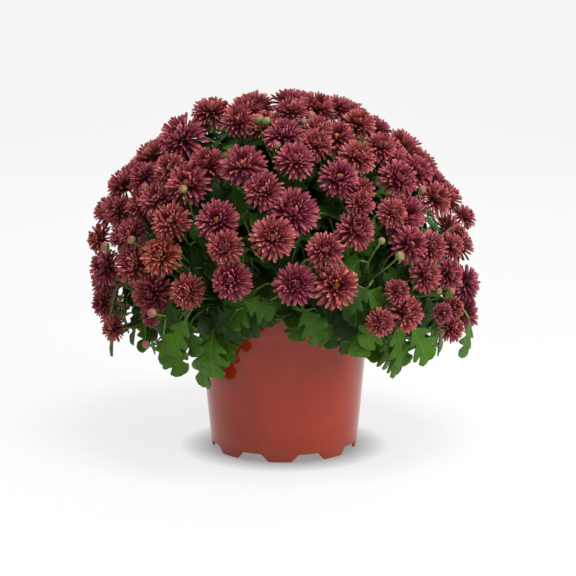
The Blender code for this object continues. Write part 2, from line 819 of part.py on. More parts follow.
def bud(stem, stems, blooms, collection, draw):
    """A round unopened head on a thin stalk of its own, in a gap between blooms."""
    for attempt in range(BUD_TRIES):
        lean = Vector([draw.uniform(-0.5, 0.5) for _ in range(3)])
        spot = onto_dome(CELL_APEX + 0.15 * (stem.axis + lean).normalized())
        head = spot - dome_normal(spot) * draw.uniform(0.002, 0.014)
        start = stem.root(head, stems)
        track = [start.lerp(head, k / 12) for k in range(4, 13)]
        around = [Vector(side) * 1.4 * BUD_RADIUS for side in ((1, 0, 0), (0, 1, 0), (0, 0, 1))]
        track += [head + side for side in around] + [head - side for side in around]
        fits = spot.z > 0.13 and all(stem.inside(p, stems) for p in track)
        if fits and bloom_clearance(track, blooms, BLOOM_CLEARANCE) > 1.0:
            break
    else:
        return

    def build(bm):
        bmesh.ops.create_uvsphere(bm, u_segments=6, v_segments=3, radius=BUD_RADIUS)
        bmesh.ops.translate(bm, vec=head, verts=bm.verts)

    new_object("bud", mesh_of(build), collection)
    stalk(start, head, PEDICEL_RADIUS * 1.3, PEDICEL_RADIUS * 0.8, collection)


def make_leafy_stem(name, stem, stems, blooms, collection, draw):
    """One stem with its heart, pedicels, leaves and buds, fused."""
    stem.stalk_points = []
    grow_stem(stem, stems, blooms, collection, draw)
    leaves = skirt_leaves(stem, stems, blooms, draw) if stem.ring else []
    for leaf in canopy_leaves(stem, stems, blooms, leaves, draw):
        new_object("leaf", leaf_mesh(leaf), collection)
        stalk(leaf.root, leaf.seat(), LEAF_STALK_RADIUS, 0.0, collection)
    bud(stem, stems, blooms, collection, draw)
    return fused(name, collection)


def main():
    for old in list(bpy.data.objects):
        bpy.data.objects.remove(old)
    scene = bpy.context.scene.collection
    loose = bpy.data.collections.new("loose pieces")
    scene.children.link(loose)

    plastic = material("terracotta plastic", (0.42, 0.06, 0.03), 0.25, coat=0.3)
    peat = material("peat soil", (0.035, 0.022, 0.014), 0.95)
    green = material("leaf green", (0.05, 0.14, 0.03), 0.55)
    wine = material("wine red petals", (0.30, 0.035, 0.06), 0.6)

    draw = random.Random(SEED)
    blooms = scatter_blooms(draw)
    spray, links = group_sprays(blooms)
    settle(blooms, spray, links)
    stems = plan_stems()

    make_pot(scene).data.materials.append(plastic)
    make_soil(stems, scene).data.materials.append(peat)
    for k, name in enumerate(sorted(set(spray))):
        for bloom, s in zip(blooms, spray):
            if s == name:
                new_object("bloom", mesh_of(lambda bm: draw_bloom(bm, bloom)), loose)
        made = fused(f"blooms_{k + 1:02d}", loose)
        made.data.materials.clear()
        made.data.materials.append(wine)
    for k, stem in enumerate(stems):
        draw = random.Random(STEM_SEED + k)
        made = make_leafy_stem(f"leafy_stem_{k + 1:02d}", stem, stems, blooms, loose, draw)
        for attempt in range(STEM_TRIES):
            if is_sound(made.data):
                break
            bpy.data.objects.remove(made)
            made = make_leafy_stem(f"leafy_stem_{k + 1:02d}", stem, stems, blooms, loose, draw)
        made.data.materials.clear()
        made.data.materials.append(green)


main()
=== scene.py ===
"""The looks of a pot chrysanthemum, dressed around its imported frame.

A plastic nursery pot holds peat, leafy stems grow out of it, and double blooms stand on their pedicels in
sprays. Blooms, leaves and buds are read from the frame's solids and drawn in their places, and smaller
leaves and more buds fill in between them. Metres, +Z up, -Y towards the viewer.
"""

import math
import random
from collections import namedtuple
from itertools import combinations

import bmesh
import bpy
from mathutils import Matrix, Vector, noise
from mathutils.kdtree import KDTree


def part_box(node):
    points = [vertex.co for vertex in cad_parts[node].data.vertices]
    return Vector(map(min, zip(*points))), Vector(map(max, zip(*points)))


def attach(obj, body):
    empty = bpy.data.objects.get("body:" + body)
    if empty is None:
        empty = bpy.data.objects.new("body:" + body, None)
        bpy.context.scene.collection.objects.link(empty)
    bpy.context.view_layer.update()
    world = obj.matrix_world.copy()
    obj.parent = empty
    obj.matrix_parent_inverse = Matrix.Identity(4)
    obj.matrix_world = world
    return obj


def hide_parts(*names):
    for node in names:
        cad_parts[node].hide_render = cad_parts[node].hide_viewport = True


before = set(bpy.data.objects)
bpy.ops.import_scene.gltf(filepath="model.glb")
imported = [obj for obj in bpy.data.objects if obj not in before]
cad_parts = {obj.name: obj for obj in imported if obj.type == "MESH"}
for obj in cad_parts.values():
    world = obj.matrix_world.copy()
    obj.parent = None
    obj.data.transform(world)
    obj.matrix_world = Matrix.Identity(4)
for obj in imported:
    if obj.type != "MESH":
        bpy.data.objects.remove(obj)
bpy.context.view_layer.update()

# The viewpoint: a little above the dome, looking slightly down, with a long lens.
view = bpy.data.objects.new("camera", bpy.data.cameras.new("camera"))
view.data.sensor_width = 36.0
view.data.lens = 92.3
view.data.clip_end = 40.0
eye = Vector((0.004, -1.5, 0.41))
view.location = eye
view.rotation_euler = (math.radians(90.0 - 9.3), 0.0, 0.0)
bpy.context.scene.collection.objects.link(view)
bpy.context.scene.camera = view
bpy.context.scene.view_settings.view_transform = "Standard"

# The studio: a seamless pale sweep, floor and back in one, which isn't part of the object. It glows evenly,
# as a light table does, but less so under the pot and close round it: that dimming is a painted contact
# shadow.
sweep_half_width, sweep_front, sweep_back, sweep_bend, sweep_top = 6.0, -6.0, 3.0, 1.6, 6.0
bend_steps = 16
# The painted contact shadow round the pot's axis: where it starts, where it ends, and how dim the glow is
# at the pot.
shadow_inner_reach, shadow_outer_reach, shadow_glow_level = 0.072, 0.11, 0.35


def ended(name, bm):
    """Ends a bmesh as a mesh of that name."""
    mesh = bpy.data.meshes.new(name)
    bm.to_mesh(mesh)
    bm.free()
    return mesh


def new_piece(name, bm, *materials):
    """Ends a bmesh as an object of that name, with smooth faces and the materials given."""
    mesh = ended(name, bm)
    for given in materials:
        mesh.materials.append(given)
    piece = bpy.data.objects.new(name, mesh)
    bpy.context.scene.collection.objects.link(piece)
    mesh.shade_smooth()
    return piece


def new_material(name, roughness):
    """A Principled material and its node tree, which the caller goes on to wire."""
    made = bpy.data.materials.new(name)
    made.use_nodes = True
    shader = made.node_tree.nodes["Principled BSDF"]
    shader.inputs["Roughness"].default_value = roughness
    return made, made.node_tree, shader


def draw_sweep():
    """The floor, a quarter round and the back, from one line drawn out sideways."""
    bm = bmesh.new()
    profile = [(sweep_front, 0.0)]
    for k in range(bend_steps + 1):
        turn = math.radians(90.0) * k / bend_steps
        profile.append((sweep_back + sweep_bend * math.sin(turn), sweep_bend * (1 - math.cos(turn))))
    profile.append((sweep_back + sweep_bend, sweep_top))
    row = [bm.verts.new((-sweep_half_width, y, z)) for y, z in profile]
    edges = [bm.edges.new(pair) for pair in zip(row, row[1:])]
    made = bmesh.ops.extrude_edge_only(bm, edges=edges)["geom"]
    moved = [part for part in made if isinstance(part, bmesh.types.BMVert)]
    bmesh.ops.translate(bm, verts=moved, vec=(2 * sweep_half_width, 0, 0))
    bmesh.ops.recalc_face_normals(bm, faces=bm.faces)
    return bm


def make_board():
    """A matt surface that glows by how far it is from the pot's axis, dimmer close to it as a painted
    contact shadow.
    """
    made, tree, shader = new_material("pale board", 0.9)
    shader.inputs["Base Color"].default_value = (0.15, 0.15, 0.15, 1.0)
    shader.inputs["Emission Strength"].default_value = 0.78
    place = tree.nodes.new("ShaderNodeTexCoord").outputs["Object"]
    reach = tree.nodes.new("ShaderNodeVectorMath")
    reach.operation = "LENGTH"
    tree.links.new(place, reach.inputs[0])
    # Painted shadow: the glow dims towards the pot's axis.
    glow = tree.nodes.new("ShaderNodeValToRGB")
    near, far = glow.color_ramp.elements
    near.position, near.color = shadow_inner_reach, (shadow_glow_level, shadow_glow_level, shadow_glow_level, 1)
    far.position, far.color = shadow_outer_reach, (1.0, 1.0, 1.0, 1)
    tree.links.new(reach.outputs["Value"], glow.inputs["Fac"])
    tree.links.new(glow.outputs["Color"], shader.inputs["Emission Color"])
    return made


new_piece("sweep", draw_sweep(), make_board())

# The studio light: an even white surround, and four soft boxes: one overhead, one that lights the back of
# the sweep, and a tall one at either side.
surround = bpy.data.worlds.new("surround")
surround.use_nodes = True
surround.node_tree.nodes["Background"].inputs["Color"].default_value = (1.0, 1.0, 1.0, 1.0)
surround.node_tree.nodes["Background"].inputs["Strength"].default_value = 0.26
bpy.context.scene.world = surround


def soft_box(name, place, target, width, height, power):
    """A rectangular light at a place, turned to a target."""
    lamp = bpy.data.lights.new(name, "AREA")
    lamp.shape = "RECTANGLE"
    lamp.size, lamp.size_y, lamp.energy = width, height, power
    made = bpy.data.objects.new(name, lamp)
    made.location = place
    made.rotation_euler = (Vector(target) - Vector(place)).to_track_quat("-Z", "Y").to_euler()
    bpy.context.scene.collection.objects.link(made)


soft_box("overhead_box", (0.4, -0.8, 2.2), (0, 0, 0.2), 0.9, 0.9, 47.0)
soft_box("back_box", (0.0, 1.6, 2.6), (0, 4.3, 0.9), 1.6, 1.0, 26.0)
soft_box("left_box", (-2.2, -0.3, 0.8), (0, 0, 0.2), 0.5, 1.4, 5.0)
soft_box("right_box", (1.9, -1.3, 0.8), (0, 0, 0.2), 0.7, 1.4, 33.0)

# The pot is one injection moulding of glossy terracotta-coloured plastic: a thin tapering wall with a
# thicker band under its lip, a sloping ledge below the band, and eight short feet under a drained floor.
pot_top, pot_radius_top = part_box("pot")[1].z, 0.0905
band_height, band_step, ledge_height = 0.017, 0.0017, 0.005
pot_radius_base, wall, edge_round, belly_height = 0.0757, 0.0018, 0.0008, 0.045
foot_height, foot_wall, foot_taper, floor_under = 0.0075, 0.0035, 0.001, 0.009
foot_count, foot_turn = 8, math.radians(-3.0)
notch_half_below, notch_half_above = math.radians(13.5), math.radians(8.0)
drain_count, drain_ring, drain_radius, drain_segments = 6, 0.050, 0.005, 32
pot_steps = 240


def wall_radius(height):
    """The outer radius of the tapering body."""
    return pot_radius_base + (pot_radius_top - band_step - pot_radius_base) * height / pot_top


def eased(corners, radius, steps=3):
    """A profile with each of its corners turned into a short arc."""
    points = [Vector(corners[0])]
    for before, corner, after in zip(corners, corners[1:], corners[2:]):
        here = Vector(corner)
        back, on = Vector(before) - here, Vector(after) - here
        reach = min(radius, 0.45 * back.length, 0.45 * on.length)
        first, last = here + back.normalized() * reach, here + on.normalized() * reach
        for k in range(steps + 1):
            t = k / steps
            points.append(first * (1 - t) ** 2 + here * 2 * t * (1 - t) + last * t * t)
    return points + [Vector(corners[-1])]


def notch_share(turn):
    """1 between two feet and 0 on a foot, with a short slope between."""
    share = math.tau / foot_count
    off = abs((turn - foot_turn + math.pi / 2) % share - share / 2)
    return min(max((notch_half_below - off) / (notch_half_below - notch_half_above), 0.0), 1.0)


def draw_pot():
    """The moulding turned from its profile, with the rim that it stands on raised between the feet."""
    bm = bmesh.new()
    band, floor_top = pot_top - band_height, floor_under + wall
    corners = [
        (0.0, floor_top),
        (wall_radius(floor_top) - wall, floor_top),
        (wall_radius(pot_top) - wall + band_step, pot_top),
        (pot_radius_top, pot_top),
        (wall_radius(band) + band_step, band),
        (wall_radius(band - ledge_height), band - ledge_height),
        (wall_radius(belly_height), belly_height),
        (wall_radius(floor_under), floor_under),
        (wall_radius(0.0) - foot_taper, 0.0),
        (wall_radius(0.0) - foot_wall, 0.0),
        (wall_radius(floor_under) - foot_wall, floor_under),
        (0.0, floor_under),
    ]
    row = [bm.verts.new((point.x, 0.0, point.y)) for point in eased(corners, edge_round)]
    edges = [bm.edges.new(pair) for pair in zip(row, row[1:])]
    bmesh.ops.spin(
        bm, geom=row + edges, cent=(0, 0, 0), axis=(0, 0, 1), dvec=(0, 0, 0),
        angle=math.tau, steps=pot_steps, use_merge=True, use_duplicate=False,
    )  # fmt: skip
    bmesh.ops.remove_doubles(bm, verts=bm.verts, dist=1e-6)
    bmesh.ops.recalc_face_normals(bm, faces=bm.faces)
    for vert in bm.verts:
        if vert.co.z < 0.6 * floor_under and vert.co.xy.length > 0.9 * pot_radius_base:
            vert.co.z += (foot_height - vert.co.z) * notch_share(math.atan2(vert.co.y, vert.co.x))
    return bm


def draw_drains():
    """The pins that leave the drain holes in the floor."""
    bm = bmesh.new()
    for k in range(drain_count):
        turn = math.tau * k / drain_count
        place = Matrix.Translation((drain_ring * math.cos(turn), drain_ring * math.sin(turn), floor_under))
        bmesh.ops.create_cone(
            bm, segments=drain_segments, radius1=drain_radius, radius2=drain_radius, depth=4 * wall,
            cap_ends=True, matrix=place,
        )  # fmt: skip
    return bm


def add_node(tree, kind, links=(), **settings):
    """A shader node with its settings, and a source or a value for each socket named."""
    made = tree.nodes.new(kind)
    for key, value in settings.items():
        setattr(made, key, value)
    for socket, source in links:
        if isinstance(source, bpy.types.NodeSocket):
            tree.links.new(source, made.inputs[socket])
        else:
            made.inputs[socket].default_value = source
    return made


def mixed(tree, share, first, second):
    """The colour between two colours."""
    links = ((0, share), (6, first), (7, second))
    return add_node(tree, "ShaderNodeMix", links, data_type="RGBA").outputs[2]


def ramp(tree, value, low, high, first=0.0, last=1.0):
    """A value mapped from one range to another, and held inside it."""
    links = (("Value", value), (1, low), (2, high), (3, first), (4, last))
    return add_node(tree, "ShaderNodeMapRange", links).outputs["Result"]


def sums(tree, operation, first, second=0.0):
    """One step of arithmetic between two values."""
    return add_node(tree, "ShaderNodeMath", ((0, first), (1, second)), operation=operation).outputs[0]


def build_mottle():
    """Soft patches and a fine grain at two scales, for every finish here."""
    group = bpy.data.node_groups.new("mottle", "ShaderNodeTree")
    for name, scale in (("Patch Scale", 60.0), ("Grain Scale", 900.0)):
        socket = group.interface.new_socket(name, in_out="INPUT", socket_type="NodeSocketFloat")
        socket.default_value = scale
    for name in ("Patches", "Grain"):
        group.interface.new_socket(name, in_out="OUTPUT", socket_type="NodeSocketFloat")
    start, end = group.nodes.new("NodeGroupInput"), group.nodes.new("NodeGroupOutput")
    place = group.nodes.new("ShaderNodeTexCoord").outputs["Object"]
    for name, detail, result in (("Patch", 3.0, "Patches"), ("Grain", 2.0, "Grain")):
        links = (("Vector", place), ("Scale", start.outputs[name + " Scale"]), ("Detail", detail))
        cloud = add_node(group, "ShaderNodeTexNoise", links)
        group.links.new(cloud.outputs["Fac"], end.inputs[result])
    return group


mottle = build_mottle()


def mottled(tree, patch_scale, grain_scale):
    """The patches and the grain in a material, each at its own scale."""
    links = (("Patch Scale", patch_scale), ("Grain Scale", grain_scale))
    made = add_node(tree, "ShaderNodeGroup", (), node_tree=mottle)
    for socket, scale in links:
        made.inputs[socket].default_value = scale
    return made.outputs["Patches"], made.outputs["Grain"]


def roughen(tree, shader, height, depth):
    """Gives the shader a bump from a height that runs from 0 to 1."""
    bump = add_node(tree, "ShaderNodeBump", (("Height", height), ("Distance", depth)))
    tree.links.new(bump.outputs["Normal"], shader.inputs["Normal"])


def make_pot_plastic():
    """Glossy plastic, faintly patchy, paler and browner just above the feet."""
    made, tree, shader = new_material("glossy terracotta plastic", 0.2)
    patches, grain = mottled(tree, 38.0, 650.0)
    share = ramp(tree, patches, 0.35, 0.65)
    colour = mixed(tree, share, (0.340, 0.027, 0.005, 1), (0.305, 0.023, 0.0045, 1))
    place = add_node(tree, "ShaderNodeTexCoord").outputs["Object"]
    height = add_node(tree, "ShaderNodeSeparateXYZ", ((0, place),)).outputs["Z"]
    uneven = sums(tree, "ADD", height, sums(tree, "MULTIPLY", patches, 0.02))
    # The wall turns paler and browner just above the feet.
    pale_low_band = ramp(tree, uneven, 0.01, 0.03, 0.4, 0.0)
    tree.links.new(mixed(tree, pale_low_band, colour, (0.36, 0.10, 0.06, 1)), shader.inputs["Base Color"])
    tree.links.new(ramp(tree, grain, 0.3, 0.75, 0.06, 0.13), shader.inputs["Roughness"])
    shader.inputs["Specular IOR Level"].default_value = 0.42
    roughen(tree, shader, patches, 0.00018)
    return made


pot = new_piece("nursery_pot", draw_pot(), make_pot_plastic())
cutter = new_piece("drains", draw_drains())
holes = pot.modifiers.new("drain holes", "BOOLEAN")
holes.object = cutter
pot.data = bpy.data.meshes.new_from_object(pot.evaluated_get(bpy.context.evaluated_depsgraph_get()))
pot.modifiers.clear()
bpy.data.objects.remove(cutter)
pot.data.set_sharp_from_angle(angle=math.radians(50))
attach(pot, "root")
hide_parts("pot")

# The soil is moist peat, filled to two centimetres under the lip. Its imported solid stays, and loose
# crumbs and pale specks of perlite lie on it.
soil_level = 0.127
soil_radius = wall_radius(soil_level) - wall
crumb_kinds = (("peat_crumbs", 520, 0.0012, 0.0034, 3), ("perlite_specks", 60, 0.0008, 0.0017, 4))


def make_peat(name, dark, light):
    """A dull, lumpy finish between two tones."""
    made, tree, shader = new_material(name, 0.95)
    patches, grain = mottled(tree, 240.0, 1500.0)
    tree.links.new(mixed(tree, ramp(tree, patches, 0.4, 0.62), dark, light), shader.inputs["Base Color"])
    roughen(tree, shader, sums(tree, "ADD", patches, grain), 0.0008)
    return made


def draw_crumbs(count, smallest, largest, chance):
    """Lumps strewn over the soil, each sunk a little into it."""
    bm = bmesh.new()
    for _ in range(count):
        reach, turn = 0.95 * soil_radius * math.sqrt(chance.random()), chance.uniform(0, math.tau)
        size = chance.uniform(smallest, largest)
        crumb = bmesh.ops.create_icosphere(bm, subdivisions=1, radius=size)["verts"]
        for vert in crumb:
            vert.co *= 1 + 0.6 * noise.noise(vert.co * 700 + Vector((reach, turn, size)) * 99)
        place = Vector((reach * math.cos(turn), reach * math.sin(turn), soil_level + 0.3 * size))
        bmesh.ops.translate(bm, vec=place, verts=crumb)
    return bm


peat = make_peat("moist peat", (0.012, 0.007, 0.004, 1), (0.05, 0.03, 0.018, 1))
perlite = make_peat("perlite", (0.45, 0.43, 0.38, 1), (0.75, 0.73, 0.68, 1))
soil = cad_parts["soil"]
soil.data.materials.clear()
soil.data.materials.append(peat)
for name, count, smallest, largest, seed in crumb_kinds:
    finish = peat if name == "peat_crumbs" else perlite
    crumbs = new_piece(name, draw_crumbs(count, smallest, largest, random.Random(seed)), finish)
    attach(crumbs, "root")

# The stems are young, fleshy growth. They rise from the soil in an inner ring of four and an outer ring
# of ten, fork inside the dome, and end in thin pale pedicels, each under the calyx of one bloom.
# A ring of stems: count, first bearing, rise of the way its share of the dome faces, radius in the soil,
# and radius and height of the crowns.
stem_rings = ((4, -70.0, 80.0, 0.018, 0.045, 0.240), (10, -90.0, 34.0, 0.050, 0.118, 0.182))
outer_below = 45
root_depth, neck_height = 0.012, 0.016
cell_apex = Vector((0.0, 0.0, 0.060))
dome_middle, dome_out, dome_up, dome_down = Vector((0.0, 0.0, 0.185)), 0.196, 0.181, 0.250
trunk_radius, pedicel_radius, leaf_stalk_radius = 0.0026, 0.0010, 0.0009
bloom_ridges, disc_height, calyx_depth = 12, 0.48, 0.38


class Stem:
    """One main stem: its foot in the soil, its crown, and the way its share of the dome faces."""

    def __init__(self, turn, elevation, hole, out, up):
        self.flat = Vector((math.cos(turn), math.sin(turn), 0.0))
        level = math.radians(elevation)
        self.axis = self.flat * math.cos(level) + Vector((0, 0, math.sin(level)))
        self.foot = self.flat * hole + Vector((0, 0, soil_level - root_depth))
        self.neck = self.flat * hole + Vector((0, 0, soil_level + neck_height))
        self.crown = self.flat * out + Vector((0, 0, up))
        self.outer = elevation < outer_below

    def along(self, share):
        """A point of the trunk between its neck and its crown."""
        bow = 0.10 * (self.crown - self.neck).length * math.sin(math.pi * share)
        return self.neck.lerp(self.crown, share) + self.flat * bow


stems = [
    Stem(math.radians(first) + math.tau * k / count, elevation, hole, out, up)
    for count, first, elevation, hole, out, up in stem_rings
    for k in range(count)
]


def dome_share(point):
    """1 on the outside of the canopy and less inside it."""
    height = point.z - dome_middle.z
    reach = dome_up if height > 0 else dome_down
    return math.sqrt((point.x**2 + point.y**2) / dome_out**2 + (height / reach) ** 2)


def dome_normal(point):
    """The way out of the canopy at a point."""
    height = point.z - dome_middle.z
    reach = dome_up if height > 0 else dome_down
    return Vector((point.x / dome_out**2, point.y / dome_out**2, height / reach**2)).normalized()


def onto_dome(heading, share):
    """The point where a heading from the dome's middle reaches a share of the canopy's depth."""
    return dome_middle + heading * (share / dome_share(dome_middle + heading))


def stem_at(point):
    """The number of the stem whose part of the dome a point is in."""
    return max(range(len(stems)), key=lambda k: (point - cell_apex).dot(stems[k].axis))


def bend(start, leave, end, arrive, steps):
    """Points of a smooth bend between two points, with the direction at each end."""
    reach = 0.9 * (end - start).length
    points = []
    for k in range(steps + 1):
        t = k / steps
        ends = start * (2 * t**3 - 3 * t**2 + 1) + end * (3 * t**2 - 2 * t**3)
        points.append(ends + leave * reach * (t**3 - 2 * t**2 + t) + arrive * reach * (t**3 - t**2))
    return points


def new_twigs(name):
    """An empty curve whose splines become round twigs."""
    curve = bpy.data.curves.new(name, "CURVE")
    curve.dimensions = "3D"
    curve.bevel_depth = 1.0
    curve.bevel_resolution = 1
    curve.use_fill_caps = True
    return curve


def add_twig(curve, points, first, last):
    """A twig along points that tapers from one radius to another."""
    spline = curve.splines.new("POLY")
    spline.points.add(len(points) - 1)
    for k, point in enumerate(points):
        spline.points[k].co = (*point, 1.0)
        spline.points[k].radius = first + (last - first) * k / (len(points) - 1)


def grow_twig(end, arrive, first, last, steps=7):
    """A twig from the nearest part of its stem to an end that it reaches along arrive."""
    number = stem_at(end)
    stem = stems[number]
    share = min(max(0.4 + (end.z - stem.neck.z) / 0.3, 0.4), 1.0)
    start = stem.along(share)
    leave = ((stem.crown - stem.neck).normalized() + (end - start).normalized()).normalized()
    add_twig(twigs[number], bend(start, leave, end, arrive, steps), first, last)


def joined(node):
    """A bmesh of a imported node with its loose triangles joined."""
    bm = bmesh.new()
    bm.from_mesh(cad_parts[node].data)
    bmesh.ops.remove_doubles(bm, verts=bm.verts, dist=2e-6)
    bm.normal_update()
    return bm


def neighbours(vert):
    """The points at the other ends of a point's edges."""
    return [edge.other_vert(vert) for edge in vert.link_edges]


def lies_under(base, disc, normal):
    """How nearly a base lies under a disc, and how near to it."""
    apart = disc - base
    return apart.normalized().dot(normal) - 9 * apart.length


def read_blooms(node):
    """(middle, radius, facing) of each bloom of a packed spray.

    Its petal ridges meet in one point at the disc, and in another at the base of the calyx.
    """
    bm = joined(node)
    discs, bases = [], []
    for vert in bm.verts:
        if len(vert.link_edges) >= bloom_ridges:
            facets = (face.normal * face.calc_area() for face in vert.link_faces)
            normal = sum(facets, Vector()).normalized()
            ring = [near.co for near in neighbours(vert)]
            out = (vert.co - sum(ring, Vector()) / len(ring)).dot(normal)
            (discs if out < 0 else bases).append((vert.co.copy(), normal))
    found = []
    for disc, normal in discs:
        base = max((place for place, _ in bases), key=lambda place: lies_under(place, disc, normal))
        facing, radius = (disc - base).normalized(), (disc - base).length / (disc_height + calyx_depth)
        found.append((base + facing * calyx_depth * radius, radius, facing))
    bm.free()
    return found


sprays = {name: read_blooms(name) for name in sorted(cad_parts) if name.startswith("blooms")}
all_blooms = [bloom for spray in sprays.values() for bloom in spray]
bloom_tree = KDTree(len(all_blooms))
for index, bloom in enumerate(all_blooms):
    bloom_tree.insert(bloom[0], index)
bloom_tree.balance()


def make_stem_green():
    """Pale green skin with darker stretches."""
    made, tree, shader = new_material("young stem", 0.5)
    patches, grain = mottled(tree, 120.0, 1800.0)
    colour = mixed(tree, ramp(tree, patches, 0.35, 0.65), (0.07, 0.15, 0.02, 1), (0.16, 0.27, 0.05, 1))
    tree.links.new(colour, shader.inputs["Base Color"])
    roughen(tree, shader, grain, 0.0001)
    return made


stem_green = make_stem_green()
twigs = [new_twigs(f"twigs_{k + 1:02d}") for k in range(len(stems))]
for k, stem in enumerate(stems):
    trunk = [stem.foot] + [stem.along(share / 6) for share in range(7)]
    add_twig(twigs[k], trunk, trunk_radius, 0.7 * trunk_radius)
for middle, radius, facing in all_blooms:
    seat = middle - facing * calyx_depth * radius
    grow_twig(seat, facing, 1.5 * pedicel_radius, pedicel_radius)

# The leaves are soft, lobed blades with blunt rounded teeth, a wedge at the base and pale veins, duller
# and greyer underneath. Large ones hang over the pot's rim, and smaller ones fill the dome.
leaf_length, leaf_thickness = 0.055, 0.016
leaf_rows = (
    0.030, 0.034, 0.045, 0.080, 0.150, 0.245, 0.300, 0.290, 0.150, 0.140, 0.290,
    0.370, 0.380, 0.330, 0.150, 0.200, 0.265, 0.255, 0.215, 0.185, 0.080,
)  # fmt: skip
plain_rows = (0.03, 0.10, 0.28, 0.33, 0.24, 0.38, 0.26, 0.25, 0.05)
blade_columns, blade_shear, blade_fold, blade_hollow = 6, 0.40, 0.22, 0.06
droop_first, droop_step = 0.08, 0.12
pole_edges, pole_gap, pole_slack, least_ring = 12, 0.0018, 0.00006, 7
canopy_extra, inner_extra, skirt_extra, leaf_tries = 14, 46, 44, 400
foliage_floor, skirt_level, skirt_reach = 0.150, 0.17, 0.095
front_from, front_to = math.radians(235), math.radians(305)

# Places seen from the viewpoint are counted across and up from the middle of the pot's foot, in seen_unit.
# A leaf before the pot: where its base is seen, where its tip is seen, and its tint.
seen_unit = 0.00104
seen_skirt = (
    (-78, 116, -89, 58, 0.95), (-64, 122, -58, 84, 0.6), (-84, 120, -74, 82, 0.75),
    (-46, 126, -47, 92, 0.4), (-34, 130, -25, 100, 0.35), (-16, 132, -22, 104, 0.3),
    (14, 134, 17, 106, 0.45), (28, 130, 26, 112, 0.3), (42, 130, 50, 98, 0.4),
    (58, 124, 66, 84, 0.55), (70, 126, 84, 100, 0.4),
)  # fmt: skip
skirt_root, skirt_tip = 0.100, 0.112
# Stretches of the rim that show, from left to right, and how low the leaves before each may reach.
rim_in_sight = ((-46, -24, 100), (-24, 2, 124), (2, 36, 102), (36, 80, 88))
trim_below, trim_before = 0.175, -0.05

Leaf = namedtuple("Leaf", "stem base face along length droop tint shown")


def frame_of(origin, along_z, along_y, scale=1.0):
    """The matrix that takes a shape drawn at the origin to its place."""
    z = along_z.normalized()
    x = along_y.cross(z).normalized()
    turn = Matrix((x, z.cross(x), z)).transposed().to_4x4()
    return Matrix.Translation(origin) @ turn @ Matrix.Scale(scale, 4)


def new_bed():
    """An empty bmesh with the attributes and the UV map of the blades."""
    bm = bmesh.new()
    for name in ("side", "tint"):
        bm.verts.layers.float.new(name)
    bm.loops.layers.uv.new("veins")
    return bm


def draw_blade(widths, columns, droop, curl, seed):
    """A blade one unit long on the Y axis, face up, with its veins' coordinates in a UV map."""
    rows = len(widths) - 1
    bm = new_bed()
    bmesh.ops.create_grid(bm, x_segments=columns, y_segments=rows, size=1.0)
    flat = {}
    for vert in bm.verts:
        across, along = vert.co.x, (vert.co.y + 1) / 2
        ragged = 1 + 0.12 * noise.noise(Vector((across, along * 4, seed)))
        x = across * widths[round(along * rows)] * ragged
        y = along + blade_shear * abs(x) * (1 - 0.6 * along)
        flat[vert] = (x + 0.5, along)
        wave = 0.035 * noise.noise(Vector((across * 1.5, along * 5, seed + 20)))
        lift = blade_fold * abs(x) - curl * x * x * 1.6 + wave * abs(across)
        vert.co = (x, y * (1 - 0.3 * droop * y), lift - droop * y * y)
    veins = bm.loops.layers.uv["veins"]
    for face in bm.faces:
        for loop in face.loops:
            loop[veins].uv = flat[loop.vert]
    tops = set(bm.verts)
    bmesh.ops.solidify(bm, geom=bm.faces[:], thickness=leaf_thickness)
    side = bm.verts.layers.float["side"]
    for vert in bm.verts:
        if vert not in tops:
            vert[side] = 1.0
    return ended("blade", bm)


full_blades = [
    draw_blade(leaf_rows, blade_columns, droop_first + droop_step * k, 0.2 * (k % 3), k) for k in range(5)
]
plain_blades = [draw_blade(plain_rows, 2, 0.1 + 0.15 * k, 0.3 * k, k + 9) for k in range(3)]


def tip_of(corners, normal):
    """The corner that an outline is symmetric about, and the flat way to it."""
    best = None
    for tip in corners:
        along = (tip - normal * tip.dot(normal)).normalized()
        across = along.cross(normal)
        mirrored = [other - across * 2 * other.dot(across) for other in corners]
        miss = sum(min((mirror - near).length for near in corners) for mirror in mirrored)
        if (best is None or miss < best[0]) and any(other.dot(along) < 0 for other in corners):
            best = (miss, tip, along)
    return best[1:]


def read_leaves(node):
    """(base, face, along, length, droop) of each blade of a packed stem.

    The two middles of a blade lie back to back, and its outline is the ring of points round them.
    """
    bm = joined(node)
    poles = [vert for vert in bm.verts if len(vert.link_edges) >= pole_edges]
    found, used = [], set()
    for first, second in combinations(poles, 2):
        if abs((first.co - second.co).length - pole_gap) > pole_slack or {first, second} & used:
            continue
        shared = set(neighbours(second))
        ring = [near for near in neighbours(first) if near in shared]
        if len(ring) < least_ring:
            continue
        used |= {first, second}
        middle, normal = first.co.lerp(second.co, 0.5), (first.co - second.co).normalized()
        corners = [vert.co - middle for vert in ring]
        if sum(corner.dot(normal) for corner in corners) < 0:
            normal = -normal
        tip, along = tip_of(corners, normal)
        reach = tip.dot(along)
        slope = tip.dot(normal) / reach
        droop = min(max((0.06 - 0.5 * slope) / (0.75 - 0.225 * slope), 0.0), 0.6)
        length = reach / (0.5 - 0.225 * droop)
        back = 0.5 - 0.075 * droop
        base = middle - along * back * length + normal * (0.25 * droop + blade_hollow) * length
        found.append((base, normal, along, length, droop))
    bm.free()
    return found


def clear_of_blooms(point, margin):
    """Whether a point lies outside the blooms near it."""
    near = bloom_tree.find_n(point, 4)
    return all(apart >= all_blooms[index][1] * margin for _, index, apart in near)


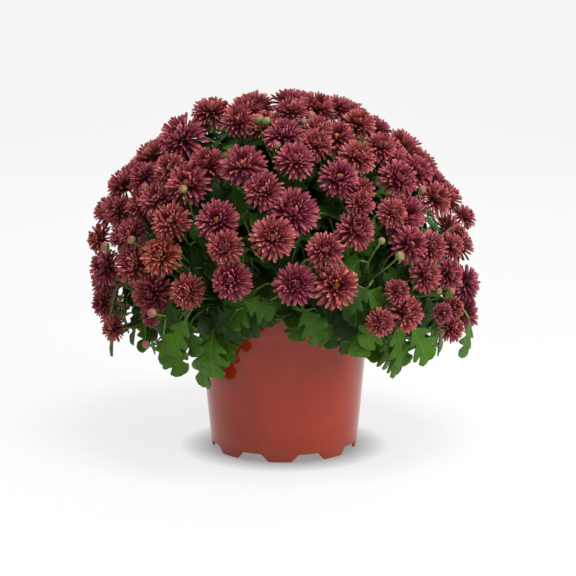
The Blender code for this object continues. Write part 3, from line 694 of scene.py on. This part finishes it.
def try_leaf(number, shown):
    """A leaf at a chance place in its stem's part of the dome, or nothing where it has no room.

    One that is shown lies between the blooms. The others fill the shade under them, and take the darkest
    greens as painted shade.
    """
    stem = stems[number]
    lean = Vector([chance.uniform(-0.75, 0.75) for _ in range(3)])
    heading = (stem.axis + lean).normalized()
    least, most = (0.80, 0.94) if shown else (0.45, 0.86 if stem.outer else 0.93)
    spot = onto_dome(heading, chance.uniform(least, most))
    if spot.z < foliage_floor or stem_at(spot) != number:
        return None
    normal = dome_normal(spot)
    around = Vector([chance.gauss(0, 1) for _ in range(3)]).cross(normal).normalized()
    along = (around + normal * chance.uniform(0.1, 0.8)).normalized()
    length = leaf_length * chance.uniform(0.6, 0.95)
    middle = spot + along * 0.5 * length
    if shown and not (clear_of_blooms(spot, 0.75) and clear_of_blooms(middle, 0.95)):
        return None
    if dome_share(spot + along * length) > 0.98:
        return None
    face = (normal + Vector((0, 0, 0.4)) + around * 0.3).normalized()
    # Leaves out of sight under the blooms get the dark end of the tint: painted shade.
    tint = chance.uniform(0.15, 0.5) if shown else chance.uniform(0.0, 0.25)
    return Leaf(number, spot, face, along, length, chance.uniform(0.1, 0.5), tint, shown)


def skirt_leaf(turn):
    """A leaf that leaves the foliage over the rim at a bearing and falls outside the pot."""
    flat = Vector((math.cos(turn), math.sin(turn), 0.0))
    front = front_from < turn % math.tau < front_to
    base = flat * chance.uniform(0.088, 0.108) + Vector((0, 0, chance.uniform(0.154, 0.172)))
    fall = math.radians(chance.uniform(5, 25 if front else 58))
    sway = Vector((-flat.y, flat.x, 0.0)) * chance.uniform(-0.5, 0.5)
    along = (flat * math.cos(fall) + sway - Vector((0, 0, math.sin(fall)))).normalized()
    face = (flat * math.sin(fall) + Vector((0, 0, math.cos(fall)))).normalized()
    length = leaf_length * chance.uniform(0.55, 0.7 if front else 1.0)
    droop, tint = chance.uniform(0.15, 0.5), chance.uniform(0.5, 1.0)
    return Leaf(stem_at(base), base, face, along, length, droop, tint, True)


def on_drum(across, up, radius):
    """The near point of an upright drum round the plant's axis that is seen at a place."""
    heading = (Vector((across * seen_unit, 0.0, up * seen_unit)) - eye).normalized()
    a = heading.x**2 + heading.y**2
    b = eye.x * heading.x + eye.y * heading.y
    gap = b * b - a * (eye.x**2 + eye.y**2 - radius**2)
    return eye + heading * ((-b - math.sqrt(gap)) / a)


def hanging_leaf(across, up, tip_across, tip_up, tint):
    """A leaf that hangs before the pot, by where its base and its tip are seen."""
    base, tip = on_drum(across, up, skirt_root), on_drum(tip_across, tip_up, skirt_tip)
    along, length = (tip - base).normalized(), 1.06 * (tip - base).length
    out = Vector((base.x, base.y, 0)).normalized() + Vector((chance.uniform(-0.4, 0.4), 0, 0.5))
    face = (out - along * out.dot(along)).normalized()
    return Leaf(stem_at(base), base, face, along, length, 0.15, tint, True)


def seen_at(point):
    """Where the viewpoint sees a point, across and up."""
    share = eye.y / (eye.y - point.y)
    return (eye.x + (point.x - eye.x) * share) / seen_unit, (eye.z + (point.z - eye.z) * share) / seen_unit


def lowest(across):
    """How low the leaves before the rim may reach."""
    for left, right, up in rim_in_sight:
        if left <= across < right:
            return up
    return 0.0


def trimmed(leaf):
    """A leaf before the rim, made short enough to leave it in sight, or nothing where it can't be."""
    if leaf.base.z > trim_below or leaf.base.y > trim_before:
        return leaf
    for share in (1.0, 0.9, 0.8, 0.7, 0.6, 0.5):
        reach = share * leaf.length
        tip = leaf.base + leaf.along * reach * (1 - 0.3 * leaf.droop) - leaf.face * reach * leaf.droop
        lobes, half = leaf.base + (tip - leaf.base) * 0.75, leaf.along.cross(leaf.face) * 0.3 * reach
        if all(up >= lowest(across) for across, up in map(seen_at, (tip, lobes + half, lobes - half))):
            return leaf._replace(length=reach)
    return None


leaves = []
for number in range(len(stems)):
    for base, face, along, length, droop in read_leaves(f"leafy_stem_{number + 1:02d}"):
        low = base.z < skirt_level and math.hypot(base.x, base.y) > skirt_reach
        leaves.append(Leaf(number, base, face, along, length, droop, 0.75 if low else 0.45, True))
chance = random.Random(12)
for number, stem in enumerate(stems):
    thick = inner_extra if stem.outer else 2 * inner_extra
    for shown, wanted in ((True, canopy_extra), (False, thick)):
        for _ in range(leaf_tries):
            leaf = try_leaf(number, shown) if wanted else None
            if leaf:
                leaves.append(leaf)
                wanted -= 1
for k in range(skirt_extra):
    leaves.append(skirt_leaf(math.tau * (k + chance.uniform(-0.3, 0.3)) / skirt_extra))
leaves += [hanging_leaf(*seen) for seen in seen_skirt]
leaves = [leaf for leaf in map(trimmed, leaves) if leaf]


def make_leaf_green():
    """Soft blade, paler along its midrib and veins and duller underneath, puffed up between the veins, and
    near black as painted shade on the leaves under the blooms.
    """
    made, tree, shader = new_material("leaf green", 0.48)
    patches, grain = mottled(tree, 90.0, 1400.0)
    tint = add_node(tree, "ShaderNodeAttribute", (), attribute_name="tint").outputs["Fac"]
    under = add_node(tree, "ShaderNodeAttribute", (), attribute_name="side").outputs["Fac"]
    place = add_node(tree, "ShaderNodeUVMap", (), uv_map="veins").outputs["UV"]
    parts = add_node(tree, "ShaderNodeSeparateXYZ", ((0, place),)).outputs
    across = sums(tree, "ABSOLUTE", sums(tree, "SUBTRACT", parts["X"], 0.5))
    rib = ramp(tree, across, 0.006, 0.022, 1.0, 0.0)
    lead = sums(tree, "SUBTRACT", parts["Y"], sums(tree, "MULTIPLY", across, 0.6))
    beat = sums(tree, "FRACT", sums(tree, "MULTIPLY", sums(tree, "ADD", lead, 0.09), 4.4))
    from_vein = sums(tree, "ABSOLUTE", sums(tree, "SUBTRACT", beat, 0.5))
    side_vein = ramp(tree, from_vein, 0.0, 0.085, 0.85, 0.0)
    fine = sums(tree, "FRACT", sums(tree, "MULTIPLY", sums(tree, "SUBTRACT", parts["Y"], across), 26.0))
    fine = ramp(tree, sums(tree, "ABSOLUTE", sums(tree, "SUBTRACT", fine, 0.5)), 0.0, 0.16, 0.25, 0.0)
    veins = sums(tree, "MAXIMUM", rib, sums(tree, "MAXIMUM", side_vein, fine))
    # The near-black end of this green is painted shade, for the leaves under the blooms.
    fresh = mixed(tree, tint, (0.005, 0.024, 0.001, 1), (0.070, 0.190, 0.004, 1))
    blotched = mixed(tree, ramp(tree, patches, 0.4, 0.7, 0.0, 0.45), fresh, (0.024, 0.060, 0.008, 1))
    pale = mixed(tree, tint, (0.04, 0.10, 0.02, 1), (0.22, 0.36, 0.06, 1))
    veined = mixed(tree, sums(tree, "MULTIPLY", veins, 0.30), blotched, pale)
    colour = mixed(tree, sums(tree, "MULTIPLY", under, 0.55), veined, (0.08, 0.13, 0.035, 1))
    tree.links.new(colour, shader.inputs["Base Color"])
    tree.links.new(ramp(tree, grain, 0.3, 0.7, 0.40, 0.55), shader.inputs["Roughness"])
    puffed = sums(tree, "SUBTRACT", sums(tree, "MULTIPLY", patches, 0.6), veins)
    roughen(tree, shader, puffed, 0.0006)
    shader.inputs["Specular IOR Level"].default_value = 0.17
    return made


leaf_green = make_leaf_green()


def add_shape(bm, shape, place, **values):
    """Adds a mesh to a bmesh in its place, with a value for each of its point attributes."""
    before = len(bm.verts)
    bm.from_mesh(shape)
    bm.verts.ensure_lookup_table()
    fresh = bm.verts[before:]
    bmesh.ops.transform(bm, matrix=place, verts=fresh)
    for name, value in values.items():
        layer = bm.verts.layers.float[name]
        for vert in fresh:
            vert[layer] = value
    return fresh


def nearest_blade(blades, droop):
    """The blade of a set whose droop is nearest."""
    return blades[min(range(len(blades)), key=lambda k: abs(droop_step * k + droop_first - droop))]


beds = [new_bed() for _ in stems]
for leaf in leaves:
    shape = nearest_blade(full_blades if leaf.shown else plain_blades, leaf.droop)
    place = frame_of(leaf.base, leaf.face, leaf.along, leaf.length)
    tint = min(max(leaf.tint + chance.uniform(-0.12, 0.12), 0.0), 1.0)
    add_shape(beds[leaf.stem], shape, place, tint=tint)
    seat = leaf.base + leaf.along * 0.03 * leaf.length
    grow_twig(seat, leaf.along, 1.3 * leaf_stalk_radius, leaf_stalk_radius, 5 if leaf.shown else 3)
for k, bed in enumerate(beds):
    foliage = new_piece(f"leaves_{k + 1:02d}", bed, leaf_green)
    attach(foliage, "root")
    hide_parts(f"leafy_stem_{k + 1:02d}")

# The buds are round unopened heads in green scales, on stalks of their own between the blooms. Each shows a
# tuft of wine-red petals at the top, of one of three sizes.
bud_radius, bud_slack = 0.0042, 0.00004
bud_tufts = (0.25, 0.6, 0.8)
seen_buds = (
    (-24, 324), (-17, 322), (-136, 258), (-99, 256), (-176, 199), (-150, 206), (-7, 299), (26, 328),
    (19, 322), (96, 205), (114, 190), (135, 256), (153, 155), (166, 155), (-131, 133),
)  # fmt: skip
sight_from, sight_step, sight_steps = 1.2, 0.001, 400


def draw_bud(tuft):
    """A head of radius 1 on the Z axis, ribbed by its scales, with its tip coloured where petals show."""
    bm = bmesh.new()
    side = bm.verts.layers.float.new("side")
    bmesh.ops.create_uvsphere(bm, u_segments=16, v_segments=8, radius=1.0)
    for vert in bm.verts:
        turn, up = math.atan2(vert.co.y, vert.co.x), vert.co.z
        rib = 1 + 0.07 * math.cos(8 * turn) * (1 - up * up)
        vert.co.x *= rib
        vert.co.y *= rib
        vert.co.z *= 1.05 if up > 0 else 0.85
        vert[side] = min(max((up - 1 + tuft) * 3, 0.0), 1.0)
    return ended("bud", bm)


def read_buds(node):
    """The middles of the round buds in a packed stem, each found by the points at its poles."""
    bm = joined(node)
    found = []
    for vert in bm.verts:
        ring = [near.co for near in neighbours(vert)]
        if len(ring) != 6 or any(abs((near - vert.co).length - bud_radius) > bud_slack for near in ring):
            continue
        above = 1.0 if sum(ring, Vector()).z / 6 < vert.co.z else -1.0
        centre = vert.co - Vector((0, 0, above * bud_radius))
        if all((centre - other).length > 0.003 for other in found):
            found.append(centre)
    bm.free()
    return found


def sighted(across, up):
    """The place on the canopy that is seen at a distance across and up."""
    heading = (Vector((across * seen_unit, 0.0, up * seen_unit)) - eye).normalized()
    for k in range(sight_steps):
        point = eye + heading * (sight_from + sight_step * k)
        if dome_share(point) < 1.0:
            return point
    return None


def make_bud_green():
    """Green scales, wine red where the petals push through."""
    made, tree, shader = new_material("bud scales", 0.5)
    patches, grain = mottled(tree, 200.0, 1500.0)
    tuft = add_node(tree, "ShaderNodeAttribute", (), attribute_name="side").outputs["Fac"]
    green = mixed(tree, ramp(tree, patches, 0.35, 0.65), (0.10, 0.17, 0.03, 1), (0.20, 0.27, 0.06, 1))
    tree.links.new(mixed(tree, tuft, green, (0.34, 0.06, 0.07, 1)), shader.inputs["Base Color"])
    roughen(tree, shader, grain, 0.0002)
    return made


bud_green = make_bud_green()
bud_shapes = [draw_bud(tuft) for tuft in bud_tufts]
buds = [centre for k in range(len(stems)) for centre in read_buds(f"leafy_stem_{k + 1:02d}")]
buds += [point for point in (sighted(*spot) for spot in seen_buds) if point]
for k in range(len(stems)):
    mine = [centre for centre in buds if stem_at(centre) == k]
    if mine:
        bm = bmesh.new()
        bm.verts.layers.float.new("side")
        for centre in mine:
            size = bud_radius * chance.uniform(0.75, 1.15)
            facing = (dome_normal(centre) + Vector((0, 0, 0.5))).normalized()
            add_shape(bm, chance.choice(bud_shapes), frame_of(centre, facing, facing.orthogonal(), size))
            grow_twig(centre - facing * 0.8 * size, facing, 1.3 * pedicel_radius, 0.8 * pedicel_radius)
        heads = new_piece(f"buds_{k + 1:02d}", bm, bud_green)
        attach(heads, "root")

# The stalks are whole once every bloom, leaf and bud has its own: one fork of twigs for each main stem.
for k, curve in enumerate(twigs):
    curve.materials.append(stem_green)
    tubes = bpy.data.objects.new(f"stalks_{k + 1:02d}", curve)
    bpy.context.scene.collection.objects.link(tubes)
    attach(tubes, "root")
    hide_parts(f"leafy_stem_{k + 1:02d}")

# The blooms are full double heads. Each has over a hundred narrow strap petals with rounded tips, in rings
# that lie flat outside and stand up inside, round a small yellow disc that the youngest hide.
# A ring of petals on a bloom of radius 1: count, length, lift, height, half width and curl.
petal_rings = (
    (20, 0.86, -4.0, -0.15, 0.066, -0.40),
    (20, 0.88, 9.0, -0.10, 0.066, -0.26),
    (20, 0.86, 22.0, -0.04, 0.064, -0.10),
    (19, 0.80, 34.0, 0.01, 0.062, 0.05),
    (18, 0.72, 46.0, 0.05, 0.060, 0.20),
    (16, 0.62, 58.0, 0.08, 0.057, 0.36),
    (14, 0.50, 70.0, 0.10, 0.054, 0.55),
    (10, 0.38, 82.0, 0.11, 0.050, 0.80),
)
bloom_share, open_share = 0.94, 0.34
petal_root, petal_thickness, petal_rows, petal_channel = 0.13, 0.022, 4, 0.9
petal_widths = (0.45, 0.70, 0.92, 1.0, 0.70)
petal_places = (0.0, 0.32, 0.62, 0.88, 0.97)
petal_values = ("along", "across", "side", "tint", "bloom")
curl_step, petal_tints = 0.22, (0.0, 0.25, 0.8)
calyx_profile = (
    (0.0, -calyx_depth), (0.06, -calyx_depth), (0.17, -0.31), (0.22, -0.20), (0.20, -0.08), (0.0, -0.04),
)  # fmt: skip


def new_head():
    """An empty bmesh with the attributes that colour a bloom."""
    bm = bmesh.new()
    for name in petal_values:
        bm.verts.layers.float.new(name)
    return bm


def draw_petal(length, half, curl, tint, seed):
    """A closed strap petal of a bloom of radius 1, its root at the origin, along Y, face up."""
    bm = new_head()
    layers = {name: bm.verts.layers.float[name] for name in petal_values}
    bmesh.ops.create_grid(bm, x_segments=2, y_segments=petal_rows, size=1.0)
    for vert in bm.verts:
        vert[layers["along"]], vert[layers["across"]] = (vert.co.y + 1) / 2, vert.co.x
        vert[layers["tint"]] = tint
    under = bmesh.ops.duplicate(bm, geom=bm.faces[:])["geom"]
    bmesh.ops.reverse_faces(bm, faces=[part for part in under if isinstance(part, bmesh.types.BMFace)])
    for part in under:
        if isinstance(part, bmesh.types.BMVert) and abs(part.co.x) < 0.5 and abs(part.co.y) < 0.9:
            part[layers["side"]] = 1.0
    for vert in bm.verts:
        across, row = vert.co.x, round((vert.co.y + 1) / 2 * petal_rows)
        along = petal_places[row] + (0.05 if row == petal_rows and abs(across) < 0.5 else 0.0)
        turn = curl * along
        track = Vector((0, math.sin(turn), 1 - math.cos(turn))) * (length / curl)
        rise = petal_channel * half * across**2 - petal_thickness * vert[layers["side"]]
        rise += 0.02 * noise.noise(Vector((across, along * 3, seed)))
        x = across * half * petal_widths[row] + 0.05 * along * noise.noise(Vector((seed, along * 2, 5.0)))
        vert.co = Vector((x, track.y - math.sin(turn) * rise, track.z + math.cos(turn) * rise))
    for edge in bm.edges:
        if len(edge.link_faces) == 1:
            edge.smooth = False
    bmesh.ops.remove_doubles(bm, verts=[vert for vert in bm.verts if vert.is_boundary], dist=1e-5)
    return ended("petal", bm)


petals = []
for ring, (_, length, _, _, half, curl) in enumerate(petal_rings):
    bends = [curl + curl_step * step for step in (-1, 0, 1)]
    petals.append(
        [draw_petal(length, half, bends[k % 3], petal_tints[k // 3], 7 * k + ring) for k in range(9)]
    )


def draw_disc():
    """The yellow middle of a bloom of radius 1, beaded by its florets."""
    bm = new_head()
    bmesh.ops.create_icosphere(bm, subdivisions=3, radius=0.13)
    for vert in bm.verts:
        vert.co *= 1 + 0.10 * noise.noise(vert.co * 32)
        vert.co.z = 0.20 + 0.75 * vert.co.z
    return ended("disc", bm)


def draw_calyx():
    """The green cup under a bloom of radius 1."""
    bm = new_head()
    row = [bm.verts.new((x, 0.0, z)) for x, z in calyx_profile]
    edges = [bm.edges.new(pair) for pair in zip(row, row[1:])]
    bmesh.ops.spin(
        bm, geom=row + edges, cent=(0, 0, 0), axis=(0, 0, 1), dvec=(0, 0, 0),
        angle=math.tau, steps=12, use_merge=True, use_duplicate=False,
    )  # fmt: skip
    bmesh.ops.remove_doubles(bm, verts=bm.verts, dist=1e-5)
    bmesh.ops.recalc_face_normals(bm, faces=bm.faces)
    return ended("calyx", bm)


disc_shape, calyx_shape = draw_disc(), draw_calyx()


def make_petal_red():
    """Wine red to coral, near black at the root as painted shade deep in the bloom, paler at the tip and
    the edge, partly its own colour and partly a painted highlight, paler at the back, finely streaked.
    """
    made, tree, shader = new_material("wine red petal", 0.52)
    read = {
        name: add_node(tree, "ShaderNodeAttribute", (), attribute_name=name).outputs["Fac"]
        for name in petal_values
    }
    patches, grain = mottled(tree, 130.0, 1600.0)
    streak = ramp(tree, sums(tree, "SINE", sums(tree, "MULTIPLY", read["across"], 15.0)), -1.0, 1.0)
    wine = mixed(tree, read["bloom"], (0.36, 0.022, 0.062, 1), (0.58, 0.075, 0.045, 1))
    pale = mixed(tree, read["bloom"], (0.86, 0.28, 0.34, 1), (0.94, 0.40, 0.25, 1))
    # Near black at the root: painted shade where the petals crowd together.
    root_shaded_wine = mixed(tree, ramp(tree, read["along"], 0.20, 0.88), (0.07, 0.003, 0.010, 1), wine)
    # Paler towards the tip and the edge: partly the petal's own colour, partly a painted highlight.
    face = mixed(tree, ramp(tree, read["along"], 0.55, 1.0, 0.0, 0.75), root_shaded_wine, pale)
    edge = ramp(tree, sums(tree, "ABSOLUTE", read["across"]), 0.55, 1.0, 0.0, 0.35)
    face = mixed(tree, sums(tree, "MULTIPLY", edge, read["along"]), face, pale)
    face = mixed(tree, sums(tree, "MULTIPLY", streak, 0.14), face, pale)
    face = mixed(tree, ramp(tree, patches, 0.4, 0.7, 0.0, 0.35), face, wine)
    both = mixed(tree, sums(tree, "MULTIPLY", read["side"], 0.70), face, pale)
    shade = mixed(tree, ramp(tree, read["tint"], 0.0, 1.0, 0.0, 0.55), both, (0.16, 0.010, 0.035, 1))
    tree.links.new(shade, shader.inputs["Base Color"])
    tree.links.new(ramp(tree, grain, 0.3, 0.7, 0.42, 0.62), shader.inputs["Roughness"])
    shader.inputs["Specular IOR Level"].default_value = 0.25
    roughen(tree, shader, streak, 0.00012)
    return made


def make_disc_yellow():
    """Egg yellow beads with orange between them."""
    made, tree, shader = new_material("disc florets", 0.6)
    place = add_node(tree, "ShaderNodeTexCoord").outputs["Object"]
    beads = add_node(tree, "ShaderNodeTexVoronoi", (("Vector", place), ("Scale", 1100.0)))
    bead = ramp(tree, beads.outputs["Distance"], 0.0, 0.7)
    colour = mixed(tree, bead, (0.86, 0.48, 0.04, 1), (0.50, 0.17, 0.01, 1))
    tree.links.new(colour, shader.inputs["Base Color"])
    roughen(tree, shader, sums(tree, "SUBTRACT", 1.0, bead), 0.0006)
    return made


petal_red, disc_yellow = make_petal_red(), make_disc_yellow()


def draw_bloom(warm, open_eye, chance):
    """One bloom of radius 1 facing up: its rings of petals, its calyx, and its disc if it is open."""
    bm = new_head()
    rings = petal_rings[:-2] if open_eye else petal_rings
    for ring, (count, _, lift, height, _, _) in enumerate(rings):
        start = chance.uniform(0, math.tau)
        for k in range(count):
            turn = start + math.tau * (k + chance.uniform(-0.2, 0.2)) / count
            tilt = math.radians(lift + chance.gauss(0, 5.0))
            place = (
                Matrix.Rotation(turn, 4, "Z")
                @ Matrix.Translation((0, petal_root, height))
                @ Matrix.Rotation(tilt, 4, "X")
                @ Matrix.Rotation(chance.gauss(0, 0.2), 4, "Y")
                @ Matrix.Scale(chance.uniform(0.86, 1.04), 4)
            )
            add_shape(bm, chance.choice(petals[ring]), place)
    extras = [(calyx_shape, 2), (disc_shape, 1)] if open_eye else [(calyx_shape, 2)]
    for shape, index in extras:
        for vert in add_shape(bm, shape, Matrix.Identity(4)):
            for face in vert.link_faces:
                face.material_index = index
    tone = bm.verts.layers.float["bloom"]
    for vert in bm.verts:
        vert[tone] = warm
    return ended("bloom", bm)


for number, (name, spray) in enumerate(sprays.items()):
    chance = random.Random(900 + number)
    bm = new_head()
    for middle, radius, facing in spray:
        coral = 0.3 if middle.x < -0.05 and middle.z < 0.22 else 0.0
        warm = min(max(chance.gauss(0.18, 0.20) + coral, 0.0), 1.0)
        shape = draw_bloom(warm, chance.random() < open_share, chance)
        stand = frame_of(middle, facing, facing.orthogonal(), bloom_share * radius)
        add_shape(bm, shape, stand @ Matrix.Rotation(chance.uniform(0, math.tau), 4, "Z"))
        bpy.data.meshes.remove(shape)
    flowers = new_piece(name.replace("blooms", "flowers"), bm, petal_red, disc_yellow, bud_green)
    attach(flowers, "root")
    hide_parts(name)
